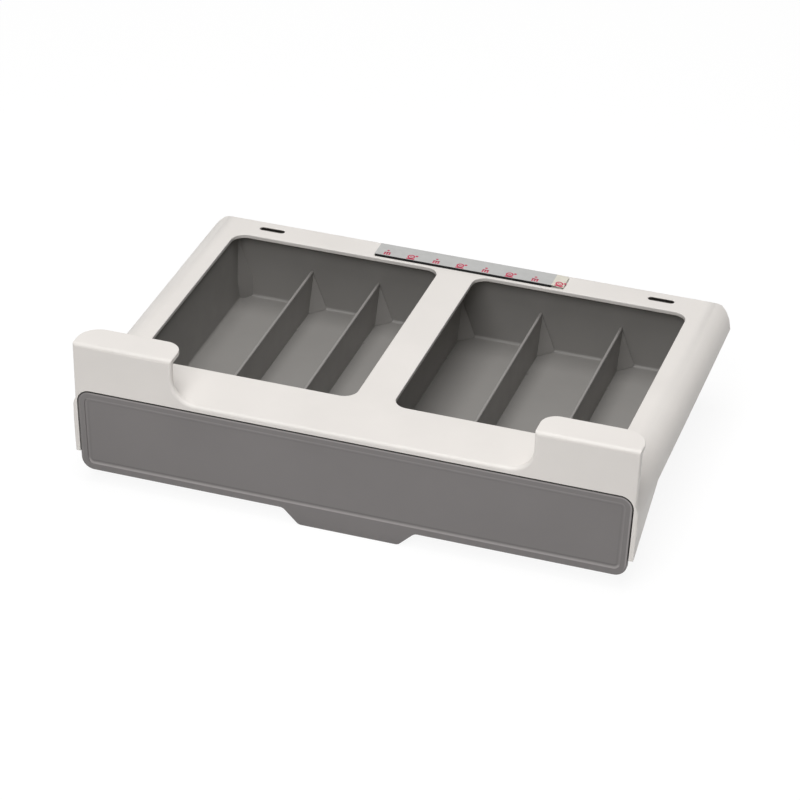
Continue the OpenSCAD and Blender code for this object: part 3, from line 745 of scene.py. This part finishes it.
def cut_out(tree, mesh, *cutters):
    """A mesh with others cut out of it."""
    cut = add_node(
        tree, "GeometryNodeMeshBoolean", {"operation": "DIFFERENCE"}, sockets={"Mesh 1": mesh}
    )
    for cutter in cutters:
        tree.links.new(cutter, cut.inputs["Mesh 2"])
    return cut.outputs[0]


def gathered(tree, kind, parts):
    """Several geometries in one node that takes them all."""
    node = tree.nodes.new(kind)
    for part in parts:
        tree.links.new(part, node.inputs[0])
    return node.outputs[0]


def finish_tree(tree, geometry, material):
    """Ends a tree in Realize Instances and Set Material."""
    whole = add_node(tree, "GeometryNodeRealizeInstances", sockets={"Geometry": geometry})
    painted = add_node(
        tree,
        "GeometryNodeSetMaterial",
        sockets={"Geometry": whole.outputs[0], "Material": material},
    )
    outlet = tree.nodes.new("NodeGroupOutput")
    tree.links.new(painted.outputs[0], outlet.inputs[0])


def grown_mesh(tree, points, values):
    """The plain mesh that a tree makes on the given points, each a place and a direction."""
    mesh = bpy.data.meshes.new(tree.name)
    mesh.from_pydata([tuple(place) for place, _ in points], [], [])
    way = mesh.attributes.new("direction", "FLOAT_VECTOR", "POINT")
    for index, (_, direction) in enumerate(points):
        way.data[index].vector = direction
    holder = linked_object(tree.name, mesh)
    modifier = holder.modifiers.new(tree.name, "NODES")
    modifier.node_group = tree
    for item in tree.interface.items_tree:
        if item.in_out == "INPUT" and item.name in values:
            modifier[item.identifier] = values[item.name]
    return evaluated_mesh(holder)


# ---------------------------------------------------------------- the fasteners' tree


def pan_head(tree, head_radius, head_height):
    """A head under the origin: a plain cylinder that is drawn in and domed towards its end."""
    calculate = partial(arithmetic, tree)
    blank = add_node(
        tree,
        "GeometryNodeMeshCylinder",
        values={"Vertices": 40, "Side Segments": 8, "Fill Segments": 4, "Radius": 1, "Depth": 1},
    )
    place = tree.nodes.new("GeometryNodeInputPosition").outputs[0]
    x, y, z = add_node(tree, "ShaderNodeSeparateXYZ", sockets={0: place}).outputs
    rise = calculate("ADD", z, 0.5)
    taper = calculate("MULTIPLY", calculate("POWER", rise, 3.0), HEAD_TAPER)
    width = calculate("SQRT", calculate("SUBTRACT", 1.0, taper))
    radius = calculate("MULTIPLY", width, head_radius)
    spread = add_node(
        tree, "ShaderNodeVectorMath", {"operation": "LENGTH"}, sockets={0: vector_of(tree, x, y)}
    ).outputs["Value"]
    slump = calculate("MULTIPLY", calculate("POWER", spread, 2.0), -HEAD_DOME)
    dome = calculate("MULTIPLY", slump, calculate("POWER", rise, 4.0))
    height = calculate("MULTIPLY", calculate("ADD", rise, dome), head_height)
    shaped = vector_of(
        tree,
        calculate("MULTIPLY", x, radius),
        calculate("MULTIPLY", y, radius),
        calculate("MULTIPLY", height, -1.0),
    )
    head = add_node(
        tree, "GeometryNodeSetPosition", sockets={"Geometry": blank.outputs[0], "Position": shaped}
    )
    return add_node(tree, "GeometryNodeFlipFaces", sockets={0: head.outputs[0]}).outputs[0]


def cross_recess(tree, head_height):
    """Two crossed blades at the head's end, which the recess is cut with."""
    calculate = partial(arithmetic, tree)
    length, width, depth = [
        calculate("MULTIPLY", head_height, share)
        for share in (RECESS_LENGTH, RECESS_WIDTH, RECESS_DEPTH)
    ]
    end = calculate("MULTIPLY", head_height, -1.0)
    sizes = ((length, width, depth), (width, length, depth))
    return [moved(tree, block(tree, *size), z=end) for size in sizes]


def thread(tree, radius, length, pitch, depth):
    """A ridge that winds up from the origin round the shank."""
    helix = add_node(
        tree,
        "GeometryNodeCurveSpiral",
        values={"Resolution": 20},
        sockets={
            "Rotations": arithmetic(tree, "DIVIDE", length, pitch),
            "Start Radius": radius,
            "End Radius": radius,
            "Height": length,
        },
    )
    profile = add_node(
        tree,
        "GeometryNodeCurvePrimitiveCircle",
        values={"Resolution": 3},
        sockets={"Radius": depth},
    )
    return add_node(
        tree,
        "GeometryNodeCurveToMesh",
        values={"Fill Caps": True},
        sockets={"Curve": helix.outputs[0], "Profile Curve": profile.outputs[0]},
    ).outputs[0]


def screw_tree():
    """A pan-head screw with a cross recess and a cut thread, once on every point.

    Each screw is built along +Z, with the underside of its head at the point.
    """
    sizes = {
        "Head Radius": RUNNER_HEAD_RADIUS,
        "Head Height": HEAD_HEIGHT,
        "Shank Radius": SHANK_RADIUS,
        "Shank Length": SHANK_LENGTH,
        "Thread Pitch": THREAD_PITCH,
        "Thread Depth": THREAD_DEPTH,
    }
    tree, given = new_tree("pan head screw", sizes)
    head_radius, head_height, shank_radius, shank_length, pitch, depth = [
        given[label] for label in sizes
    ]
    blades = cross_recess(tree, head_height)
    head = cut_out(tree, pan_head(tree, head_radius, head_height), *blades)
    middle = arithmetic(tree, "MULTIPLY", shank_length, 0.5)
    shank = moved(tree, cylinder(tree, shank_radius, shank_length), z=middle)
    thread_length = arithmetic(tree, "MULTIPLY", shank_length, THREAD_SHARE)
    ridge = thread(tree, shank_radius, thread_length, pitch, depth)
    screw = gathered(tree, "GeometryNodeJoinGeometry", (ridge, shank, head))

    direction = add_node(
        tree,
        "GeometryNodeInputNamedAttribute",
        {"data_type": "FLOAT_VECTOR"},
        {"Name": "direction"},
    )
    turn = add_node(
        tree,
        "FunctionNodeAlignRotationToVector",
        {"axis": "Z"},
        sockets={"Vector": direction.outputs[0]},
    )
    placed = add_node(
        tree,
        "GeometryNodeInstanceOnPoints",
        sockets={"Points": given["Geometry"], "Instance": screw, "Rotation": turn.outputs[0]},
    )
    finish_tree(tree, placed.outputs[0], given["Material"])
    return tree


# ---------------------------------------------------------------- the printed marks' tree


def mark_stroke(tree, kind, x, y, size, width, thickness):
    """One bar, disc or ring of ink at its place in the mark."""
    if kind == "bar":
        stroke = block(tree, size * MM, width * MM, thickness)
    else:
        stroke = cylinder(tree, size * MM, thickness)
    if kind == "ring":
        stroke = cut_out(tree, stroke, cylinder(tree, (size - width) * MM, RING_HOLE_HEIGHT))
    return moved(tree, stroke, x * MM, y * MM)


def mark_tree():
    """Small printed marks in a row: a dot over short bars and a rounder ring, turn about."""
    tree, given = new_tree(
        "printed marks",
        {"Pitch": MARK_PITCH, "Count": float(MARK_COUNT), "Thickness": INK_THICKNESS},
    )
    drawings = []
    for drawing in (DOTTED_MARK, ROUND_MARK):
        strokes = [mark_stroke(tree, *stroke, given["Thickness"]) for stroke in drawing]
        drawings.append(gathered(tree, "GeometryNodeJoinGeometry", strokes))
    pair = gathered(tree, "GeometryNodeGeometryToInstance", reversed(drawings))

    row = add_node(
        tree,
        "GeometryNodeMeshLine",
        sockets={"Count": given["Count"], "Offset": vector_of(tree, given["Pitch"])},
    )
    start = tree.nodes.new("GeometryNodeInputPosition").outputs[0]
    first = add_node(
        tree,
        "GeometryNodeSampleIndex",
        {"data_type": "FLOAT_VECTOR"},
        sockets={"Geometry": given["Geometry"], "Value": start},
    )
    line = add_node(
        tree,
        "GeometryNodeSetPosition",
        sockets={"Geometry": row.outputs[0], "Offset": first.outputs[0]},
    )
    index = tree.nodes.new("GeometryNodeInputIndex").outputs[0]
    placed = add_node(
        tree,
        "GeometryNodeInstanceOnPoints",
        values={"Pick Instance": True},
        sockets={
            "Points": line.outputs[0],
            "Instance": pair,
            "Instance Index": arithmetic(tree, "MODULO", index, 2.0),
        },
    )
    finish_tree(tree, placed.outputs[0], given["Material"])
    return tree


# ---------------------------------------------------------------- camera, light and floor


def place_camera():
    """The camera, at the product view's place and roll."""
    sin_a, cos_a = math.sin(CAMERA_AZIMUTH), math.cos(CAMERA_AZIMUTH)
    sin_e, cos_e = math.sin(CAMERA_ELEVATION), math.cos(CAMERA_ELEVATION)
    back = Vector((sin_a * cos_e, -cos_a * cos_e, sin_e))
    right = Vector((cos_a, sin_a, 0.0))
    up = back.cross(right)
    roll_right = math.cos(CAMERA_ROLL) * right + math.sin(CAMERA_ROLL) * up
    roll_up = math.cos(CAMERA_ROLL) * up - math.sin(CAMERA_ROLL) * right
    data = bpy.data.cameras.new("product view")
    data.lens = CAMERA_LENS
    data.sensor_width = SENSOR_WIDTH
    camera = linked_object("product view", data)
    turn = Matrix((roll_right, roll_up, back)).transposed()
    camera.matrix_world = Matrix.Translation(CAMERA_PLACE) @ turn.to_4x4()
    bpy.context.scene.camera = camera


def add_softbox(name, place, side, power):
    """A square area lamp that faces the origin."""
    data = bpy.data.lights.new(name, "AREA")
    data.shape = "SQUARE"
    data.size = side
    data.energy = power
    lamp = linked_object(name, data)
    lamp.location = place
    aim = Vector((0.0, 0.0, 0.0)) - Vector(place)
    lamp.rotation_euler = aim.to_track_quat("-Z", "Y").to_euler()


def seen_directly(tree):
    """1 for rays from the camera, mirrors and glass, 0 for light that falls on the object."""
    path = tree.nodes.new("ShaderNodeLightPath").outputs
    opaque = arithmetic(tree, "MAXIMUM", path["Is Camera Ray"], path["Is Glossy Ray"])
    return arithmetic(tree, "MAXIMUM", opaque, path["Is Transmission Ray"])


def make_world():
    """A plain sky: a soft level on the object, and white where it is seen."""
    world = bpy.data.worlds.new("studio sky")
    world.use_nodes = True
    bpy.context.scene.world = world
    tree = world.node_tree
    sky = tree.nodes["Background"]
    sky.inputs["Color"].default_value = (*SKY_TINT, 1.0)
    level = tree.nodes.new("ShaderNodeMapRange")
    level.inputs["To Min"].default_value = SKY_LEVEL
    level.inputs["To Max"].default_value = 1.0
    tree.links.new(seen_directly(tree), level.inputs["Value"])
    tree.links.new(level.outputs["Result"], sky.inputs["Strength"])


def studio_paper():
    """Pale matt paper that is nearly white where it is seen, and keeps a shadow."""
    material, shader, place = new_material("studio paper")
    tree = material.node_tree
    tone = clouds(material, place, PAPER_CLOUDS)
    set_colour(material, blend_colours(material, tone, PAPER_DARKEST, PAPER_LIGHTEST))
    shader.inputs["Roughness"].default_value = 0.95
    shader.inputs["Specular IOR Level"].default_value = 0.1
    glow = tree.nodes.new("ShaderNodeEmission")
    glow.inputs["Strength"].default_value = PAPER_GLOW
    mix = tree.nodes.new("ShaderNodeMixShader")
    share = arithmetic(tree, "MULTIPLY", seen_directly(tree), GLOW_SHARE)
    tree.links.new(share, mix.inputs["Fac"])
    tree.links.new(shader.outputs["BSDF"], mix.inputs[1])
    tree.links.new(glow.outputs["Emission"], mix.inputs[2])
    tree.links.new(mix.outputs["Shader"], tree.nodes["Material Output"].inputs["Surface"])
    return material


def make_floor():
    """A wide floor of paper just under the drawer."""
    level = solid_box[0][2] - FLOOR_CLEARANCE
    mesh = bpy.data.meshes.new("studio_floor")
    corners = [(-1, -1), (1, -1), (1, 1), (-1, 1)]
    places = [(x * FLOOR_REACH, y * FLOOR_REACH, level) for x, y in corners]
    mesh.from_pydata(places, [], [(0, 1, 2, 3)])
    mesh.materials.append(studio_paper())
    floor = linked_object("studio_floor", mesh)


# ---------------------------------------------------------------- the drawer's pieces


def dress_casing():
    """The casing's shell, with painted shade in its screw slots, and the rails of its two runners.
    """
    white = moulded_plastic(
        "warm white casing", WARM_WHITE, roughness=0.42, grain=0.35 * MM, depth=0.006 * MM
    )
    x, y, z = [place_along(white, axis) for axis in "XYZ"]
    # Painted shade: the screw slots' walls are toned near black
    tone_bands(white, SHADE, (x, SLOT_SHADE_ENDS), (y, SLOT_SHADE_SIDES), (z, SLOT_SHADE_HEIGHTS))
    shell = softened_mesh("casing", CASING_EDGE, white, SMOOTH_LIMIT, solid_box[0][1])
    finished_piece("casing_shell", shell, "casing", "white_plastic", "casing")
    pale = moulded_plastic(
        "slippery runner plastic", RUNNER_GREY, roughness=0.35, grain=0.5 * MM, depth=0.004 * MM
    )
    for side in ("left", "right"):
        node = side + "_runner"
        softened_piece(node + "_rail", node, TRAY_EDGE, pale, "casing", "runner_plastic")


def front_panel_grey():
    """The front's plastic, with painted highlights on its field's crest and its lip, and painted
    shade at the field's foot and in the gap round it.
    """
    grey = moulded_plastic(
        "drawer front grey", FRONT_GREY, roughness=0.45, grain=0.4 * MM, depth=0.008 * MM
    )
    x, y, z = [place_along(grey, axis) for axis in "XYZ"]
    rim = depth_in_panel(grey)
    crest_highlight, foot_shade, lip_highlight = [
        scaled(FRONT_GREY, lightness)
        for lightness in (PAINTED_CREST_HIGHLIGHT, PAINTED_FOOT_SHADE, PAINTED_LIP_HIGHLIGHT)
    ]
    # Painted highlight on the slope's crest and painted shade at its foot
    tone_bands(grey, crest_highlight, (rim, CREST_HIGHLIGHT_RIM), (z, SLOPE_HEIGHTS))
    tone_bands(grey, foot_shade, (rim, FOOT_SHADE_RIM), (z, SLOPE_HEIGHTS))
    # Painted highlight on the panel's outer lip
    tone_bands(grey, lip_highlight, (rim, LIP_HIGHLIGHT_RIM), (x, LIP_HIGHLIGHT_LENGTH), (z, LIP_HIGHLIGHT_HEIGHTS))
    # Painted shade in the gap round the panel
    tone_bands(grey, SHADE, (rim, GAP_SHADE_RIM), (z, GAP_SHADE_HEIGHTS), (y, GAP_SHADE_DEPTHS))
    return grey


def dress_drawer():
    """The drawer's front, its tray and its dividers."""
    softened_piece(
        "drawer_front_panel", "drawer_front", FRONT_EDGE, front_panel_grey(), "drawer",
        "front_plastic", reach=WIDE_MERGE,
    )
    tray_grey = moulded_plastic(
        "tray grey", TRAY_GREY, roughness=0.48, grain=0.45 * MM, depth=0.008 * MM
    )
    softened_piece("pod_tray", "drawer_tray", TRAY_EDGE, tray_grey, "drawer", "grey_plastic")
    divider_grey = moulded_plastic(
        "divider grey", DIVIDER_GREY, roughness=0.45, grain=0.4 * MM, depth=0.006 * MM
    )
    for number in range(1, 6):
        node = "divider_%d" % number
        softened_piece(
            "lane_" + node, node, TRAY_EDGE, divider_grey, "drawer", "divider_plastic"
        )


def solid_islands(node):
    """The lowest and highest corners of each separate solid in a node."""
    work = bmesh.new()
    work.from_mesh(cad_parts[node].data)
    bmesh.ops.remove_doubles(work, verts=work.verts, dist=FINE_MERGE)
    left = set(work.verts)
    boxes = []
    while left:
        island = [left.pop()]
        for member in island:
            for edge in member.link_edges:
                vertex = edge.other_vert(member)
                if vertex in left:
                    left.remove(vertex)
                    island.append(vertex)
        boxes.append(corners_of(island))
    work.free()
    return boxes


def dress_fasteners(name, nodes, body, tree, values, direction):
    """Screws in place of the nodes' solids, with their shanks pointing along an axis."""
    axis = [abs(part) for part in direction].index(1.0)
    sense = direction[axis]
    points = []
    for node in nodes:
        for low, high in solid_islands(node):
            place = (low + high) / 2.0
            head_end = low[axis] if sense > 0 else high[axis]
            place[axis] = head_end + sense * HEAD_HEIGHT
            points.append((place, direction))
            values["Shank Length"] = high[axis] - low[axis] - HEAD_HEIGHT
    mesh = grown_mesh(tree, points, values)
    mark_sharp_edges(mesh)
    finished_piece(name, mesh, body, "screw_steel", *nodes)


def dress_screws():
    """The screws that point up into the casing, and those that point forward into the front."""
    steel = zinc_steel("zinc-plated steel")
    tree = screw_tree()
    nodes = ("left_runner_screws", "right_runner_screws")
    values = {"Material": steel, "Head Radius": RUNNER_HEAD_RADIUS}
    dress_fasteners("runner_fasteners", nodes, "casing", tree, values, Vector((0, 0, 1)))
    nodes = ("drawer_front_screws",)
    values = {"Material": steel, "Head Radius": FRONT_HEAD_RADIUS}
    dress_fasteners("front_fasteners", nodes, "drawer", tree, values, Vector((0, -1, 0)))


def film_height(x, foam_end, level):
    """The film's underside: flat over the foam, sinking gently past its end."""
    past = max(0.0, x - foam_end)
    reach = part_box("release_liner")[1][0] - foam_end
    share = past / reach
    return level - FILM_DROOP * share * share * (3.0 - 2.0 * share)


def film_sheet(work, foam_end, lift):
    """The vertices of one face of the film, by column and row."""
    low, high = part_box("release_liner")
    grid = []
    for column in range(FILM_COLUMNS + 1):
        x = low[0] + (high[0] - low[0]) * column / FILM_COLUMNS
        z = film_height(x, foam_end, low[2]) + lift
        grid.append(
            [
                work.verts.new((x, low[1] + (high[1] - low[1]) * row / FILM_ROWS, z))
                for row in range(FILM_ROWS + 1)
            ]
        )
    return grid


def film_mesh(foam_end, material):
    """The liner as a thin closed sheet whose free end droops."""
    work = bmesh.new()
    bottom, top = [film_sheet(work, foam_end, lift) for lift in (0.0, FILM_THICKNESS)]
    for column in range(FILM_COLUMNS):
        for row in range(FILM_ROWS):
            corners = ((column, row), (column + 1, row), (column + 1, row + 1), (column, row + 1))
            work.faces.new([top[a][b] for a, b in corners])
            work.faces.new([bottom[a][b] for a, b in reversed(corners)])
    rim = [(column, 0) for column in range(FILM_COLUMNS)]
    rim += [(FILM_COLUMNS, row) for row in range(FILM_ROWS)]
    rim += [(column, FILM_ROWS) for column in range(FILM_COLUMNS, 0, -1)]
    rim += [(0, row) for row in range(FILM_ROWS, 0, -1)]
    for (a, b), (c, d) in zip(rim, rim[1:] + rim[:1]):
        work.faces.new((bottom[a][b], bottom[c][d], top[c][d], top[a][b]))
    bmesh.ops.recalc_face_normals(work, faces=work.faces)
    mesh = bpy.data.meshes.new("release_film")
    work.to_mesh(mesh)
    work.free()
    mark_sharp_edges(mesh)
    mesh.materials.append(material)
    return mesh


def printed_marks(foam_start, foam_end):
    """The row of marks on the film, which follows the film's droop."""
    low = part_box("release_liner")[0]
    level = low[2] + FILM_THICKNESS + INK_THICKNESS / 2.0
    start = Vector((foam_start + MARK_START, low[1] + MARK_SETBACK, level))
    values = {"Material": printing_ink("red ink")}
    marks = grown_mesh(mark_tree(), [(start, Vector((0, 0, 1)))], values)
    for vertex in marks.vertices:
        drop = film_height(vertex.co.x, foam_end, low[2]) - low[2]
        vertex.co.z += drop
    return marks


def dress_strip():
    """The foam strip, the film over it and the marks on the film."""
    foam = cell_foam("black cell foam")
    softened_piece("foam_strip", "adhesive_strip", FOAM_EDGE, foam, "casing", "foam")
    foam_low, foam_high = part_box("adhesive_strip")
    foam_end = foam_high[0]
    film = release_film("waxed release film", foam_end)
    finished_piece(
        "release_film", film_mesh(foam_end, film), "liner", "liner_film", "release_liner"
    )
    marks = printed_marks(foam_low[0], foam_end)
    finished_piece("printed_marks", marks, "liner", "liner_film")


place_camera()
add_softbox("overhead softbox", *OVERHEAD_SOFTBOX)
add_softbox("front softbox", *FRONT_SOFTBOX)
make_world()
make_floor()
dress_casing()
dress_drawer()
dress_screws()
dress_strip()

bpy.context.scene.view_settings.view_transform = "Standard"
